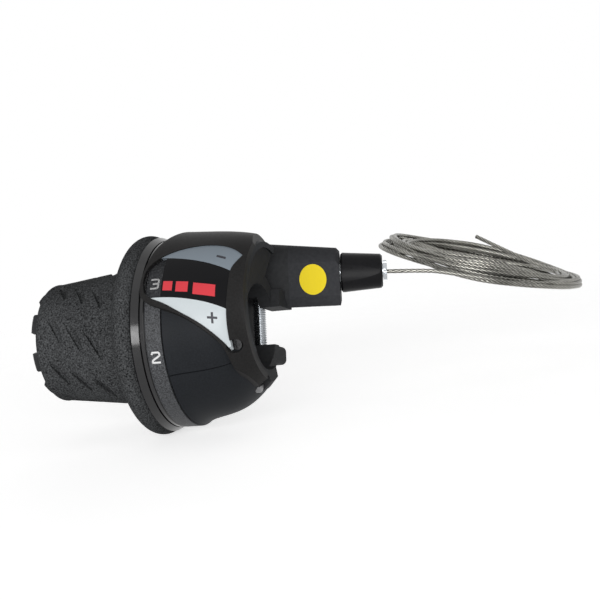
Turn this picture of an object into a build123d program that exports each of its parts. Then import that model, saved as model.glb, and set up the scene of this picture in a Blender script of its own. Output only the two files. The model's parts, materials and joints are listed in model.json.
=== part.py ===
"""Twist grip shifter for a handlebar, with its coiled shift cable.

X runs along the handlebar towards the bike's centre, -Y is the front and +Z is up.
The origin is on the bar's axis beside the clamp bolt. Sizes are in millimetres.
Angles around the bar are counted from the front upwards.
"""
import os
from math import cos, radians, sin, tan

from build123d import *

os.makedirs("parts", exist_ok=True)

# Clearances, and how far joined or cut shapes run past each other
running_gap = 0.08
seat_gap = 0.1
free_gap = 0.4
overlap = 1.0

# Handlebar bore, mandrel and snap fingers
bar_bore_r = 11.2
mandrel_wall = 1.2
mandrel_r = bar_bore_r + mandrel_wall
mandrel_end_x = -52.5
finger_tip_x = -54.0
finger_hook = 1.2
finger_r = mandrel_r + finger_hook
finger_edge = 0.6
finger_count = 8
finger_arc = 21.0

# Twist barrel and rubber grip
barrel_wall = 1.6
barrel_r = mandrel_r + barrel_wall
barrel_end_x = -52.2
rubber_end = 1.3
rubber_root = 3.75
grip_end_r = barrel_r + rubber_end
grip_root_r = barrel_r + rubber_root
grip_round = 2.4
grip_lip = 0.2
scoop_rows = 8
scoop_length = 12.8
scoop_half_width = 1.9
scoop_lift = 0.5
scoop_slant = 60.0
scoop_sweep = 100.0
scoop_stations = ((-46.8, 22.0), (-41.1, 13.0), (-35.4, 5.0))

# Rim, glossy flange and number ring; the rim's edge counts from its start and from the grip's root
rim_start_x = -27.3
rim_width = 6.0
rim_wall = 2.0
rim_edge = ((-1.6, 0.0), (-0.2, 0.85), (0.2, 3.25), (0.8, 6.05), (2.3, 7.75), (3.9, 8.15), (5.5, 7.3))
rim_face_drop = 0.7
number_ring_x0 = -17.5
number_ring_x1 = -13.1
number_ring_rise = 6.55
number_ring_r = grip_root_r + number_ring_rise
number_ring_depth = 4.3
number_hub_r = number_ring_r - number_ring_depth
number_ring_edge = 0.4
rim_face_x = rim_start_x + rim_width
rim_core_step = 0.5
rim_core_r = number_hub_r + rim_core_step
flange_rise = 0.9
flange_edge = 0.6
flange_groove_x = -18.95
flange_groove_width = 0.4
flange_groove_depth = 0.9
flange_band_drop = 0.1
flange_band_edge = 0.3

# Spool, detent and cable
spool_rise = 2.3
spool_r = barrel_r + spool_rise
spool_end_x = -5.9
spool_groove_x = -7.7
spool_groove_half = 0.8
cable_r = 0.55
wrap_depth = 1.4
wrap_r = spool_r - wrap_depth
wrap_arc = 140.0
nipple_r = 1.6
nipple_length = 4.0
detent_x0 = -10.7
detent_x1 = -9.0
detent_notch_r = 1.6
detent_deg = 203.0
detent_side_gap = 0.3
gear_turns = (0.0, 45.0, 125.0)
leaf_thickness = 0.4
leaf_seat_deg = 27.0
leaf_knee_deg = 11.0
leaf_clear = 1.4
leaf_dip = 0.75
washer_thickness = 0.9
washer_step = 0.7
washer_r = spool_r - washer_step

# Covers: station, height of the section's centre, and how far its radius is below the number ring's
skin_line = ((-12.7, 0.2, 0.1), (-5.0, 1.05, 1.5), (0.0, 1.85, 2.8), (4.0, 3.25, 4.85), (7.5, 4.6, 7.2))
nose_line = ((-18.4, 0.2, 0.4), (-15.0, 0.2, 0.0))
skin = [(x, z, number_ring_r - drop) for x, z, drop in skin_line]
nose_skin = [(x, z, number_ring_r - drop) for x, z, drop in nose_line]
cover_x0 = skin[0][0]
reach = 1.6 * number_ring_r
cover_wall = 1.5
seam_deg = -17.4
seam_gap_deg = 0.35
back_top_deg = 118.0
back_low_deg = -108.0
bezel_lift = 1.6
lens_lift = 1.25
bezel_mid_deg = 33.0
nose_gap = 0.45
nose_under_r = number_ring_r + nose_gap
bezel_low_edge = (
    (3.2, -16.5), (2.7, -14.6), (1.9, -12.7), (-0.7, -10.4),
    (-5.2, -7.4), (-10.7, -4.9), (-16.0, -2.8), (-18.0, -1.0),
)
bezel_nose_edge = (
    (-18.0, -1.0), (-18.4, 2.2), (-17.8, 7.2), (-16.8, 12.2),
    (-15.6, 16.3), (-14.0, 20.0), (-12.6, 23.5),
)
bezel_top_corner = (4.8, bezel_nose_edge[-1][1])
bezel_slope_low = 14.5
window_low_edge = (
    (3.2, -12.6), (0.0, -10.0), (-3.6, -7.6), (-7.5, -5.5),
    (-12.6, -2.8), (-15.3, -1.6), (-17.0, 0.0),
)
window_nose_edge = (
    (-17.0, 0.0), (-17.5, 2.4), (-16.9, 7.0), (-14.4, 10.0),
    (-10.0, 12.7), (-5.1, 14.0), (2.1, 13.4), (6.4, 10.6),
)
window_right_edge = (
    (6.4, 10.6), (5.3, 8.5), (4.4, 6.3), (4.1, 3.1),
    (3.8, -2.1), (3.6, -5.9), (3.6, -10.2), (3.7, -12.2),
)

# Bulkhead, end wall and clamp, with the bolt tilted from upright
bulkhead_x0 = -4.8
bulkhead_x1 = -3.3
back_wall_depth = 3.1
back_wall_r = number_ring_r - back_wall_depth
back_wall = 1.6
bulkhead_r = back_wall_r - back_wall - seat_gap
clamp_wall = 3.2
clamp_r = bar_bore_r + clamp_wall
clamp_end_x = 4.6
end_wall_rise = 2.7
end_wall_depth = 2.3
end_wall_r = number_ring_r - end_wall_depth
end_wall = 1.5
end_wall_low_deg = -62.4
clamp_tilt = 15.0
jaw_x1 = 6.4
jaw_rise = 1.8
jaw_r = clamp_r + jaw_rise
jaw_chamfer = 2.0
jaw_seam_deg = 3.0
jaw_low_deg = -104.0
ear_x1 = 4.7
ear_high_x1 = 6.8
ear_low = -8.4
ear_high = 10.6
ear_ahead = 6.4
ear_behind = 3.6
tab_round = 1.4
gap_low = -3.6
gap_high = 6.1
gap_back = 32.0
notch_high = 8.6
notch_side = 0.5

# Clamp bolt and nut, boss screw and cover screw
bolt_x = -1.0
bolt_offset = 4.2
bolt_y = bar_bore_r + bolt_offset
bolt_r = 1.75
bolt_end = 12.6
bolt_access = 7.0
bolt_head_r = 2.75
bolt_head_height = 4.0
bolt_socket_r = 1.5
bolt_socket_depth = 2.4
nut_width = 5.5
nut_low = 9.4
nut_height = 2.4
nut_slot = 6.0
boss_screw_y = -5.0
boss_screw_drop = 3.0
boss_screw_z = -bar_bore_r - boss_screw_drop
boss_screw_x = 3.2
boss_head_r = 2.0
boss_head_height = 1.4
boss_head_round = 0.5
boss_shank_r = 1.2
boss_hole_past = 1.0
boss_shank_short = 0.5
cover_screw_x = 4.4
cover_screw_deg = -4.0
cover_screw_depth = 6.7
cover_screw_r = number_ring_r - cover_screw_depth
cover_head_r = 1.35
cover_head_height = 0.9
cover_shank_r = 0.8
cover_shank_length = 3.4
cover_boss_r = 1.7
cover_boss_height = 2.2
cover_cross = 1.9
screw_slot = 0.5

# Cable outlet, guide and adjuster: stations count along the outlet from the cable's corner behind the spool
wire_tilt_deg = 12.55
cable_y = 16.0
outlet_yaw_deg = 15.0
outlet_drop_deg = 4.29
root_s0 = -1.0
root_s1 = 14.8
outlet_s1 = 28.2
outlet_half_depth = 6.5
outlet_top = 7.9
outlet_top_draft_deg = 5.7
outlet_crease_top = 3.8
outlet_crease_low = -5.2
outlet_low = -8.1
outlet_low_half = 5.3
outlet_end_round = 0.8
outlet_passage_r = 1.2
elbow_r = 5.6
elbow_s1 = 4.8
guide_y0 = 11.2
guide_r = 1.5
guide_bore_r = 0.85
thread_r = 2.5
screw_s0 = 19.5
screw_s1 = 39.3
screw_bore_r = 0.9
screw_chamfer = 0.4
knob_s0 = 28.45
knob_past_screw = 0.2
knob_s1 = screw_s1 + knob_past_screw
knob_r0 = 5.3
knob_r1 = 4.55
knob_edge = 0.5
knob_flutes = 3
flute_r = 9.0
flute_depth = 0.95
flute_s1 = 38.4
flute_turn_deg = 5.0
seat_collar_s0 = screw_s1 + free_gap
seat_collar_length = 1.0
seat_collar_s1 = seat_collar_s0 + seat_collar_length
seat_collar_r = 2.8
seat_neck_r = 1.9
seat_neck_length = 2.4
seat_edge = 0.3
seat_notches = 6
seat_notch_r = 0.5
label_half_width = 3.55
label_half_height = 4.05
label_thickness = 0.15
label_s = 21.2

# Free cable and the coil of spare cable; the coil's sizes count along it, back and up its axis
run_droop_s = 46.0
run_bend_s = 58.3
run_bend_drop = 1.6
run_last = 8.0
coil_drop_deg = 16.5
coil_r = 26.3
coil_lead = 1.95
coil_rise = 1.3
coil_half_width = 2.7
coil_half_height = 2.3
tail_turn_deg = 112.0
tail_knee = (12.4, 18.4, 1.9)
tail_tip = (-0.9, 20.5, 5.0)


def at_angle(deg):
    """Plane through the bar's axis whose second direction points out at this angle."""
    return Plane((0, 0, 0), x_dir=(1, 0, 0), z_dir=(0, -sin(radians(deg)), -cos(radians(deg))))


def out_dir(deg):
    """Direction away from the bar at this angle."""
    return (0, -cos(radians(deg)), sin(radians(deg)))


def up_dir(deg):
    """Direction around the bar at this angle."""
    return (0, sin(radians(deg)), cos(radians(deg)))


def polar(x, r, deg):
    """Point at a station along the bar, a radius and an angle."""
    return (x, -r * cos(radians(deg)), r * sin(radians(deg)))


def section_plane(x, z):
    """Plane across the bar at a station, centred at a height."""
    return Plane((x, 0, z), x_dir=(0, 1, 0), z_dir=(1, 0, 0))


def clamp_point(x, y, z):
    """Point given in the clamp's tilted back and bolt directions."""
    tilt = radians(clamp_tilt)
    return (x, y * cos(tilt) + z * sin(tilt), z * cos(tilt) - y * sin(tilt))


def clamp_plane(x):
    """Plane across the bar with the clamp's back and bolt directions."""
    return Plane((x, 0, 0), x_dir=clamp_point(0, 1, 0), z_dir=(1, 0, 0))


def bolt_plane(z):
    """Plane across the clamp bolt at a height along it."""
    return Plane(clamp_point(bolt_x, bolt_y, z), x_dir=(1, 0, 0), z_dir=clamp_point(0, 0, 1))


def ear_face(y):
    """Plane along the clamp's ears at a distance behind the bar's axis; it counts downwards."""
    return Plane(clamp_point(0, y, 0), x_dir=(1, 0, 0), z_dir=clamp_point(0, 1, 0))


def boss_plane(x):
    """Plane across the boss screw at a station along the bar."""
    return Plane((x, boss_screw_y, boss_screw_z), x_dir=(0, 1, 0), z_dir=(1, 0, 0))


def cover_screw_plane(r):
    """Plane across the cover screw at a radius from the bar."""
    return Plane(polar(cover_screw_x, r, cover_screw_deg), x_dir=(1, 0, 0), z_dir=out_dir(cover_screw_deg))


def wire_point(y):
    """Point of the cable's straight run off the spool, counted from where it leaves the spool."""
    tilt = radians(wire_tilt_deg)
    return Vector(spool_groove_x, y * cos(tilt) + wrap_r * sin(tilt), wrap_r * cos(tilt) - y * sin(tilt))


def outlet_point(station, up=0.0):
    """Point on the outlet's axis, or above it."""
    return wire_point(cable_y) + outlet_along * station + outlet_up * up


def outlet_plane(station):
    """Plane across the outlet, with the back and up directions of its section."""
    return Plane(outlet_point(station), x_dir=outlet_back, z_dir=outlet_along)


def outlet_outline(station):
    """Corners of the outlet's section and the top of its arc at a station; the top falls with its draft."""
    top = outlet_top - (station - root_s1) * tan(radians(outlet_top_draft_deg))
    return (
        (-outlet_half_depth, outlet_crease_low),
        (-outlet_half_depth, outlet_crease_top),
        (0, top),
        (outlet_half_depth, outlet_crease_top),
        (outlet_half_depth, outlet_crease_low),
        (outlet_low_half, outlet_low),
        (-outlet_low_half, outlet_low),
    )


def heading(yaw_deg, drop_deg):
    """Direction turned from the bar's towards the back and dropped below the level."""
    yaw, drop = radians(yaw_deg), radians(drop_deg)
    return Vector(cos(yaw) * cos(drop), sin(yaw) * cos(drop), -sin(drop))


def coil_point(along, back, up):
    """Point given in the coil's own directions."""
    return coil_centre + coil_along * along + outlet_back * back + coil_axis * up


def save(built, name):
    built.part.label = name
    export_step(built.part, "parts/" + name + ".step")


outlet_along = heading(outlet_yaw_deg, outlet_drop_deg)
outlet_back = heading(outlet_yaw_deg + 90.0, 0.0)
outlet_up = outlet_along.cross(outlet_back)
wire_dir = wire_point(1.0) - wire_point(0.0)
tangent_deg = 90.0 + wire_tilt_deg
nipple_deg = tangent_deg - wrap_arc
nipple_plane = Plane(polar(spool_groove_x, wrap_r, nipple_deg), x_dir=(1, 0, 0), z_dir=up_dir(nipple_deg))

# End wall inside the covers, sloping from the bore's rim out to the covers' end
with BuildPart() as end_wall_piece:
    for x, z, r in skin:
        with BuildSketch(section_plane(x, z)):
            Circle(r - cover_wall - seat_gap)
    loft()
    with BuildSketch(at_angle(back_top_deg)):
        Polygon(
            (clamp_end_x - end_wall, clamp_r - overlap),
            (clamp_end_x, bar_bore_r),
            (clamp_end_x + end_wall_rise, end_wall_r),
            (clamp_end_x + end_wall_rise - end_wall, end_wall_r),
            align=None,
        )
    revolve(axis=Axis.X, revolution_arc=back_top_deg - end_wall_low_deg, mode=Mode.INTERSECT)

# Main body: mandrel with snap fingers, bulkhead, split clamp and the outlet's root
with BuildPart() as main_body:
    with BuildSketch(Plane.XZ):
        Polygon(
            (finger_tip_x, bar_bore_r),
            (finger_tip_x, finger_r - finger_edge),
            (finger_tip_x + finger_edge, finger_r),
            (mandrel_end_x, finger_r),
            (mandrel_end_x, mandrel_r),
            (bulkhead_x0, mandrel_r),
            (bulkhead_x0, bulkhead_r),
            (bulkhead_x1, bulkhead_r),
            (bulkhead_x1, clamp_r),
            (clamp_end_x, clamp_r),
            (clamp_end_x, bar_bore_r),
            align=None,
        )
    revolve(axis=Axis.X)
    for i in range(finger_count):
        with BuildSketch(at_angle((i + 0.5) * 360.0 / finger_count)):
            Polygon(
                (finger_tip_x - overlap, bar_bore_r - overlap),
                (finger_tip_x - overlap, finger_r + overlap),
                (mandrel_end_x, finger_r + overlap),
                (mandrel_end_x, bar_bore_r - overlap),
                align=None,
            )
        revolve(axis=Axis.X, revolution_arc=360.0 / finger_count - finger_arc, mode=Mode.SUBTRACT)
    with BuildSketch(at_angle(back_low_deg + 360.0)):
        Polygon(
            (cover_x0, back_wall_r - back_wall),
            (cover_x0, back_wall_r),
            (bulkhead_x1, back_wall_r),
            (bulkhead_x1, back_wall_r - back_wall - overlap),
            (bulkhead_x0, back_wall_r - back_wall - overlap),
            (bulkhead_x0, back_wall_r - back_wall),
            align=None,
        )
    revolve(axis=Axis.X, revolution_arc=back_low_deg + 360.0 - back_top_deg)
    with BuildSketch(at_angle(seam_deg - jaw_seam_deg)):
        Polygon(
            (bulkhead_x1, clamp_r - overlap),
            (bulkhead_x1, jaw_r),
            (jaw_x1 - jaw_chamfer, jaw_r),
            (jaw_x1, jaw_r - jaw_chamfer),
            (jaw_x1, bar_bore_r),
            (clamp_end_x - overlap, bar_bore_r),
            align=None,
        )
    revolve(axis=Axis.X, revolution_arc=seam_deg - jaw_seam_deg - jaw_low_deg)
    add(end_wall_piece.part)
    for station in (root_s0, root_s1):
        corners = outlet_outline(station)
        with BuildSketch(outlet_plane(station)):
            with BuildLine():
                Polyline(*(corners[3:] + corners[:2]))
                ThreePointArc(*corners[1:4])
            make_face()
    loft()
    with BuildSketch(section_plane(cover_x0 - overlap, 0)):
        Circle(back_wall_r - back_wall)
        Circle(mandrel_r, mode=Mode.SUBTRACT)
    extrude(amount=bulkhead_x0 - cover_x0 + overlap, mode=Mode.SUBTRACT)
    with BuildSketch(ear_face(bolt_y - ear_ahead)):
        Polygon(
            (bulkhead_x1, -gap_high),
            (bulkhead_x1, -ear_high),
            (ear_high_x1, -ear_high),
            (ear_high_x1, -gap_high),
            align=None,
        )
    extrude(amount=ear_ahead + ear_behind)
    with BuildSketch(ear_face(bolt_y - ear_ahead)) as tab_outline:
        Polygon(
            (bulkhead_x1, -ear_low),
            (bulkhead_x1, -gap_low),
            (ear_x1, -gap_low),
            (ear_x1, -ear_low),
            align=None,
        )
        fillet(tab_outline.vertices().group_by(Axis.X)[-1], tab_round)
    extrude(amount=ear_ahead + ear_behind)
    with BuildSketch(clamp_plane(bulkhead_x1)):
        Polygon((0, gap_low), (0, gap_high), (gap_back, gap_high), (gap_back, gap_low), align=None)
    extrude(amount=ear_high_x1 - bulkhead_x1, mode=Mode.SUBTRACT)
    with BuildSketch(clamp_plane(bulkhead_x1)):
        Polygon(
            (0, gap_low),
            (0, notch_high),
            (bolt_y + ear_behind, notch_high),
            (bolt_y + ear_behind, gap_low),
            align=None,
        )
    extrude(amount=bolt_x + bolt_r + notch_side - bulkhead_x1, mode=Mode.SUBTRACT)
    with BuildSketch(section_plane(bulkhead_x1, 0)):
        Circle(bar_bore_r)
    extrude(amount=ear_high_x1 - bulkhead_x1, mode=Mode.SUBTRACT)
    with BuildSketch(bolt_plane(ear_low - overlap)):
        Circle(bolt_r + seat_gap)
    extrude(amount=bolt_end + seat_gap - ear_low + overlap, mode=Mode.SUBTRACT)
    with BuildSketch(bolt_plane(ear_low)):
        Circle(bolt_head_r + free_gap)
    extrude(amount=-bolt_access, mode=Mode.SUBTRACT)
    with BuildSketch(bolt_plane(nut_low - seat_gap)):
        with Locations((0, nut_slot / 2)):
            Rectangle(nut_width + 2 * seat_gap, nut_width + nut_slot + 2 * seat_gap)
    extrude(amount=nut_height + 2 * seat_gap, mode=Mode.SUBTRACT)
    with BuildSketch(boss_plane(boss_screw_x)):
        Circle(boss_head_r + free_gap)
    extrude(amount=reach, mode=Mode.SUBTRACT)
    with BuildSketch(boss_plane(boss_screw_x)):
        Circle(boss_shank_r)
    extrude(amount=bulkhead_x1 - boss_screw_x + boss_hole_past, mode=Mode.SUBTRACT)
    with BuildSketch(cover_screw_plane(clamp_r - overlap)):
        Circle(cover_boss_r)
    extrude(amount=cover_boss_height)
    with BuildSketch(cover_screw_plane(cover_screw_r)):
        Circle(cover_shank_r)
    extrude(amount=-cover_shank_length - seat_gap, mode=Mode.SUBTRACT)
    with BuildLine():
        FilletPolyline(
            wire_point(0.0), wire_point(cable_y), outlet_point(root_s1 + overlap), radius=[elbow_r]
        )
    with BuildSketch(Plane(wire_point(0.0), x_dir=(1, 0, 0), z_dir=wire_dir)):
        Circle(guide_r)
    sweep(mode=Mode.SUBTRACT)
save(main_body, "main_body")

# Upper cover
with BuildPart() as upper_cover:
    for x, z, r in skin:
        with BuildSketch(section_plane(x, z)):
            Circle(r)
    loft()
    for x, z, r in skin:
        with BuildSketch(section_plane(x, z)):
            Circle(r - cover_wall)
    loft(mode=Mode.SUBTRACT)
    with BuildSketch(at_angle(back_top_deg - seam_gap_deg)):
        Polygon((-reach, 0), (-reach, reach), (reach, reach), (reach, 0), align=None)
    revolve(axis=Axis.X, revolution_arc=back_top_deg - seam_deg - 2 * seam_gap_deg, mode=Mode.INTERSECT)
    with BuildSketch(cover_screw_plane(cover_screw_r)):
        Circle(cover_head_r + seat_gap)
    extrude(amount=reach, mode=Mode.SUBTRACT)
    with BuildSketch(cover_screw_plane(cover_screw_r)):
        Circle(cover_shank_r + seat_gap)
    extrude(amount=-cover_shank_length, mode=Mode.SUBTRACT)
save(upper_cover, "upper_cover")

# Lower cover, open at the end for the clamp's jaw
with BuildPart() as lower_cover:
    for x, z, r in skin:
        with BuildSketch(section_plane(x, z)):
            Circle(r)
    loft()
    for x, z, r in skin:
        with BuildSketch(section_plane(x, z)):
            Circle(r - cover_wall)
    loft(mode=Mode.SUBTRACT)
    with BuildSketch(at_angle(seam_deg - seam_gap_deg)):
        Polygon((-reach, 0), (-reach, reach), (reach, reach), (reach, 0), align=None)
    revolve(axis=Axis.X, revolution_arc=seam_deg - back_low_deg - 2 * seam_gap_deg, mode=Mode.INTERSECT)
    with BuildSketch(section_plane(bulkhead_x1 + overlap, 0)):
        Circle(jaw_r + seat_gap)
    extrude(amount=reach, mode=Mode.SUBTRACT)
    with BuildSketch(boss_plane(boss_screw_x)):
        Circle(boss_head_r + free_gap)
    extrude(amount=reach, mode=Mode.SUBTRACT)
save(lower_cover, "lower_cover")

# Indicator bezel: a raised frame that reaches over the number ring as a nose
bezel_plane = Plane((0, 0, 0), x_dir=(1, 0, 0), z_dir=out_dir(bezel_mid_deg))
with BuildPart() as indicator_bezel:
    for x, z, r in nose_skin + skin:
        with BuildSketch(section_plane(x, z)):
            Circle(r + bezel_lift)
    loft()
    for x, z, r in skin:
        with BuildSketch(section_plane(x, z)):
            Circle(r)
    loft(mode=Mode.SUBTRACT)
    with BuildSketch(section_plane(nose_skin[0][0] - overlap, 0)):
        Circle(nose_under_r)
    extrude(amount=cover_x0 - nose_skin[0][0] + overlap, mode=Mode.SUBTRACT)
    with BuildSketch(bezel_plane):
        with BuildLine():
            Spline(*bezel_low_edge)
            Spline(*bezel_nose_edge)
            Polyline(
                bezel_nose_edge[-1],
                bezel_top_corner,
                (skin[-1][0] + free_gap, bezel_slope_low),
                (skin[-1][0] + free_gap, bezel_low_edge[0][1]),
                bezel_low_edge[0],
            )
        make_face()
    extrude(amount=reach, mode=Mode.INTERSECT)
    with BuildSketch(bezel_plane):
        with BuildLine():
            Spline(*window_low_edge)
            Spline(*window_nose_edge)
            Spline(*window_right_edge)
            Line(window_right_edge[-1], window_low_edge[0])
        make_face()
    extrude(amount=reach, mode=Mode.SUBTRACT)
    with BuildSketch(cover_screw_plane(cover_screw_r)):
        Circle(cover_head_r + free_gap)
    extrude(amount=reach, mode=Mode.SUBTRACT)
save(indicator_bezel, "indicator_bezel")

# Indicator lens, flush in the bezel and clear over the number ring
with BuildPart() as indicator_lens:
    for x, z, r in nose_skin + skin:
        with BuildSketch(section_plane(x, z)):
            Circle(r + lens_lift)
    loft()
    for x, z, r in skin:
        with BuildSketch(section_plane(x, z)):
            Circle(r)
    loft(mode=Mode.SUBTRACT)
    with BuildSketch(section_plane(nose_skin[0][0] - overlap, 0)):
        Circle(nose_under_r)
    extrude(amount=cover_x0 - nose_skin[0][0] + overlap, mode=Mode.SUBTRACT)
    with BuildSketch(bezel_plane):
        with BuildLine():
            Spline(*window_low_edge)
            Spline(*window_nose_edge)
            Spline(*window_right_edge)
            Line(window_right_edge[-1], window_low_edge[0])
        make_face()
    extrude(amount=reach, mode=Mode.INTERSECT)
save(indicator_lens, "indicator_lens")

# Clamp bolt with a hexagon socket, and its square nut
with BuildPart() as clamp_bolt:
    with BuildSketch(bolt_plane(ear_low)):
        Circle(bolt_r)
    extrude(amount=bolt_end - ear_low)
    with BuildSketch(bolt_plane(ear_low)):
        Circle(bolt_head_r)
    extrude(amount=-bolt_head_height)
    with BuildSketch(bolt_plane(ear_low - bolt_head_height)):
        RegularPolygon(bolt_socket_r, 6)
    extrude(amount=bolt_socket_depth, mode=Mode.SUBTRACT)
save(clamp_bolt, "clamp_bolt")

with BuildPart() as clamp_nut:
    with BuildSketch(bolt_plane(nut_low)):
        Rectangle(nut_width, nut_width)
        Circle(bolt_r, mode=Mode.SUBTRACT)
    extrude(amount=nut_height)
save(clamp_nut, "clamp_nut")

# Slotted screw in the clamp's jaw
with BuildPart() as boss_screw:
    with BuildSketch(boss_plane(boss_screw_x)):
        Circle(boss_head_r)
    extrude(amount=boss_head_height)
    fillet(boss_screw.faces().sort_by(Axis.X)[-1].edges(), boss_head_round)
    with BuildSketch(boss_plane(boss_screw_x)):
        Circle(boss_shank_r)
    extrude(amount=bulkhead_x1 - boss_screw_x + boss_hole_past + boss_shank_short)
    with BuildSketch(boss_plane(boss_screw_x + boss_head_height)):
        Rectangle(2 * boss_head_r + overlap, screw_slot)
    extrude(amount=-screw_slot, mode=Mode.SUBTRACT)
save(boss_screw, "boss_screw")

# Cover screw, sunk in the bezel's lower corner
with BuildPart() as cover_screw:
    with BuildSketch(cover_screw_plane(cover_screw_r)):
        Circle(cover_head_r)
    extrude(amount=cover_head_height)
    with BuildSketch(cover_screw_plane(cover_screw_r)):
        Circle(cover_shank_r)
    extrude(amount=-cover_shank_length)
    with BuildSketch(cover_screw_plane(cover_screw_r + cover_head_height)):
        Rectangle(cover_cross, screw_slot)
        Rectangle(screw_slot, cover_cross)
    extrude(amount=-screw_slot, mode=Mode.SUBTRACT)
save(cover_screw, "cover_screw")

# Cable outlet tube with its drafted top, and the label stuck to its front
with BuildPart() as cable_outlet:
    for station in (root_s1, outlet_s1):
        corners = outlet_outline(station)
        with BuildSketch(outlet_plane(station)):
            with BuildLine():
                Polyline(*(corners[3:] + corners[:2]))
                ThreePointArc(*corners[1:4])
            make_face()
    loft()
    outlet_end = cable_outlet.faces().sort_by(Axis(outlet_point(0.0), outlet_along))[-1]
    chamfer(outlet_end.edges().filter_by(GeomType.CIRCLE), outlet_end_round)
    with BuildSketch(outlet_plane(outlet_s1)):
        Circle(thread_r + running_gap)
    extrude(amount=screw_s0 - seat_neck_length - outlet_s1, mode=Mode.SUBTRACT)
    with BuildSketch(outlet_plane(root_s1)):
        Circle(outlet_passage_r)
    extrude(amount=outlet_s1 - root_s1, mode=Mode.SUBTRACT)
save(cable_outlet, "cable_outlet")

label_up = (outlet_crease_low + outlet_crease_top) / 2
label_at = outlet_point(label_s, label_up) - outlet_back * outlet_half_depth
with BuildPart() as round_label:
    with BuildSketch(Plane(label_at, x_dir=outlet_along, z_dir=-outlet_back)):
        Ellipse(label_half_width, label_half_height)
    extrude(amount=label_thickness)
save(round_label, "round_label")

# Cable guide: a liner that turns the cable from the spool into the outlet
with BuildPart() as cable_guide:
    with BuildLine():
        FilletPolyline(wire_point(guide_y0), wire_point(cable_y), outlet_point(root_s1), radius=[elbow_r])
    with BuildSketch(Plane(wire_point(guide_y0), x_dir=(1, 0, 0), z_dir=wire_dir)):
        Circle(guide_r)
        Circle(guide_bore_r, mode=Mode.SUBTRACT)
    sweep()
save(cable_guide, "cable_guide")

with BuildPart() as cable_elbow:
    with BuildLine():
        FilletPolyline(wire_point(free_gap), wire_point(cable_y), outlet_point(elbow_s1), radius=[elbow_r])
    with BuildSketch(Plane(wire_point(free_gap), x_dir=(1, 0, 0), z_dir=wire_dir)):
        Circle(cable_r)
    sweep()
save(cable_elbow, "cable_elbow")

# Detent leaf spring, seated on the back wall and dipping into a notch of the spool
leaf_seat_r = back_wall_r - back_wall - leaf_thickness / 2
leaf_points = (
    (leaf_seat_r, leaf_seat_deg),
    (spool_r + leaf_clear, leaf_knee_deg),
    (spool_r - leaf_dip, 0.0),
    (spool_r + leaf_clear, -leaf_knee_deg),
    (leaf_seat_r, -leaf_seat_deg),
)
with BuildPart() as detent_spring:
    with BuildSketch(section_plane(detent_x0, 0)):
        with BuildLine():
            Polyline(*[polar(0, r, detent_deg + turn)[1:] for r, turn in leaf_points])
        trace(line_width=leaf_thickness)
    extrude(amount=detent_x1 - detent_x0)
save(detent_spring, "detent_spring")

with BuildPart() as thrust_washer:
    with BuildSketch(section_plane(bulkhead_x0, 0)):
        Circle(washer_r)
        Circle(mandrel_r + seat_gap, mode=Mode.SUBTRACT)
    extrude(amount=-washer_thickness)
save(thrust_washer, "thrust_washer")

# Twist barrel: sleeve, rim core, glossy flange, number hub and cable spool in one moulding
flange_band_r = number_ring_r - flange_band_drop
with BuildPart() as twist_barrel:
    with BuildSketch(Plane.XZ):
        Polygon(
            (barrel_end_x, mandrel_r + running_gap),
            (barrel_end_x, barrel_r),
            (rim_start_x + rim_wall, barrel_r),
            (rim_start_x + rim_wall, rim_core_r),
            (rim_face_x, rim_core_r),
            (rim_face_x, number_ring_r + flange_rise - flange_edge),
            (rim_face_x + flange_edge, number_ring_r + flange_rise),
            (flange_groove_x, number_ring_r),
            (flange_groove_x, number_ring_r - flange_groove_depth),
            (flange_groove_x + flange_groove_width, number_ring_r - flange_groove_depth),
            (flange_groove_x + flange_groove_width, flange_band_r),
            (number_ring_x0 - flange_band_edge, flange_band_r),
            (number_ring_x0, flange_band_r - flange_band_edge),
            (number_ring_x0, number_hub_r),
            (number_ring_x1, number_hub_r),
            (number_ring_x1, spool_r),
            (spool_groove_x - spool_groove_half, spool_r),
            (spool_groove_x - spool_groove_half, wrap_r - cable_r - seat_gap),
            (spool_groove_x + spool_groove_half, wrap_r - cable_r - seat_gap),
            (spool_groove_x + spool_groove_half, spool_r),
            (spool_end_x, spool_r),
            (spool_end_x, mandrel_r + running_gap),
            align=None,
        )
    revolve(axis=Axis.X)
    for turn in gear_turns:
        with BuildSketch(section_plane(detent_x0 - detent_side_gap, 0)):
            with Locations(polar(0, spool_r, detent_deg - turn)[1:]):
                Circle(detent_notch_r)
        extrude(amount=detent_x1 - detent_x0 + 2 * detent_side_gap, mode=Mode.SUBTRACT)
    with BuildSketch(nipple_plane):
        Circle(nipple_r + seat_gap)
    extrude(amount=-nipple_length - seat_gap, mode=Mode.SUBTRACT)
save(twist_barrel, "twist_barrel")

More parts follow.
